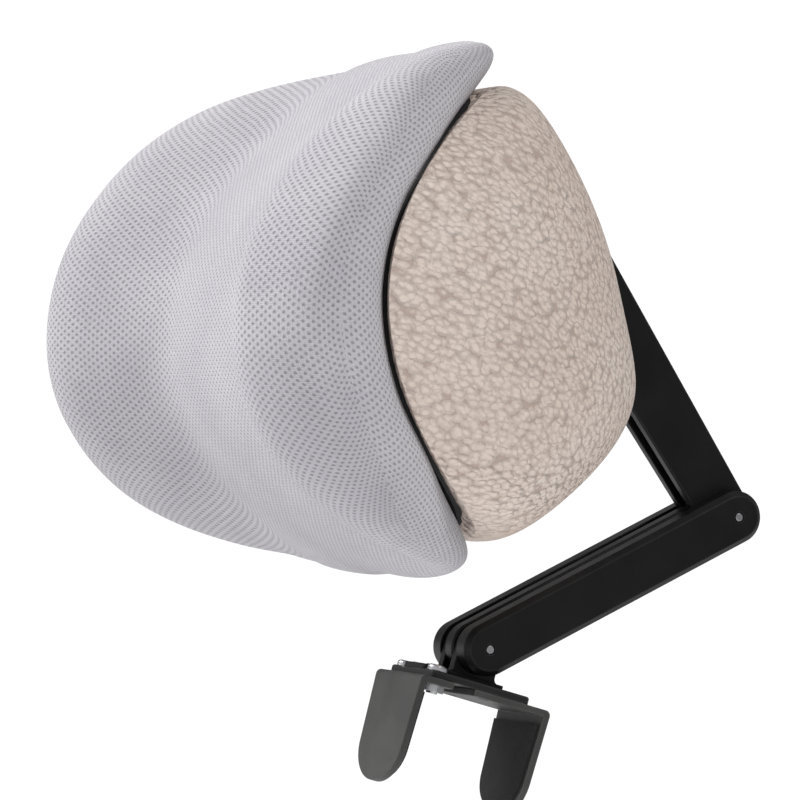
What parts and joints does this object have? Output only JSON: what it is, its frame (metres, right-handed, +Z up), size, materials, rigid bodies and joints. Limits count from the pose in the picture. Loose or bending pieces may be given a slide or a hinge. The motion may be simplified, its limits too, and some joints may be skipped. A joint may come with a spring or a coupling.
{
  "type": "chair headrest attachment",
  "caption": "Padded saddle-shaped headrest on a folding friction-hinge arm, with a screw clamp that grips the top edge of a chair back.",
  "frame": {"origin": "middle of the clamp's seat face, the underside that lies on the top edge of a chair back", "axes": "+Z up along the chair back and out of its top edge, -Y towards the sitter, +X to the sitter's left; every hinge turns about X"},
  "size_m": [0.249, 0.2476, 0.2553],
  "materials": {
    "clamp_metal": "satin black powder coat",
    "tongue_metal": "matte dark grey powder coat",
    "arm_metal": "satin black paint",
    "screw_steel": "bright zinc",
    "dark_steel": "black oxide",
    "pin_steel": "ground steel",
    "washer_plastic": "matte nylon",
    "liner_rubber": "matte rubber",
    "shell_plastic": "matte black moulding",
    "core_wood": "raw plywood",
    "insert_brass": "plain",
    "foam": "open-cell foam",
    "leather_beige": "pebbled, soft sheen",
    "mesh_fabric": "perforated knit mesh"
  },
  "bodies": {
    "clamp": {"base_plate": "clamp_metal", "front_hook": "tongue_metal", "front_hook_liner": "liner_rubber", "front_hook_screws": "screw_steel", "front_hook_nuts": "screw_steel", "hinge_bracket": "arm_metal", "bracket_rivets": "dark_steel"},
    "rear_hook_slide": {"rear_hook": "tongue_metal", "rear_hook_liner": "liner_rubber", "rear_hook_screws": "dark_steel"},
    "lower_arm": {"lower_arm_left_plate": "arm_metal", "lower_arm_right_plate": "arm_metal", "lower_arm_middle_plate": "arm_metal", "lower_arm_sleeves": "dark_steel", "lower_arm_tie_rivets": "dark_steel", "lower_pivot_pin": "pin_steel", "lower_pivot_washers": "washer_plastic", "elbow_pin": "pin_steel", "elbow_washers": "washer_plastic"},
    "upper_arm": {"upper_arm_left_plate": "arm_metal", "upper_arm_right_plate": "arm_metal", "upper_arm_sleeves": "dark_steel", "upper_arm_tie_rivets": "dark_steel", "head_pivot_bolt": "dark_steel", "head_pivot_nut": "dark_steel", "head_pivot_washers": "washer_plastic"},
    "headrest": {"head_bracket": "clamp_metal", "head_bracket_screws": "screw_steel", "threaded_inserts": "insert_brass", "core_panel": "core_wood", "pocket_liner": "shell_plastic", "back_foam": "foam", "leather_cover": "leather_beige", "front_pan": "shell_plastic", "front_foam": "foam", "mesh_cover": "mesh_fabric"}
  },
  "joints": [
    {"name": "clamp_slide", "type": "slide", "parent": "clamp", "child": "rear_hook_slide", "axis": [0, 1, 0], "range_m": [-0.008, 0.01]},
    {"name": "lower_pivot", "type": "hinge", "parent": "clamp", "child": "lower_arm", "pos_m": [0, -0.001, 0.0175], "axis": [1, 0, 0], "range_deg": [-20, 25]},
    {"name": "elbow", "type": "hinge", "parent": "lower_arm", "child": "upper_arm", "pos_m": [0, 0.08101, 0.0893], "axis": [1, 0, 0], "range_deg": [-45, 4]},
    {"name": "head_tilt", "type": "hinge", "parent": "upper_arm", "child": "headrest", "pos_m": [0, -0.00199, 0.15994], "axis": [1, 0, 0], "range_deg": [-20, 5]}
  ]
}
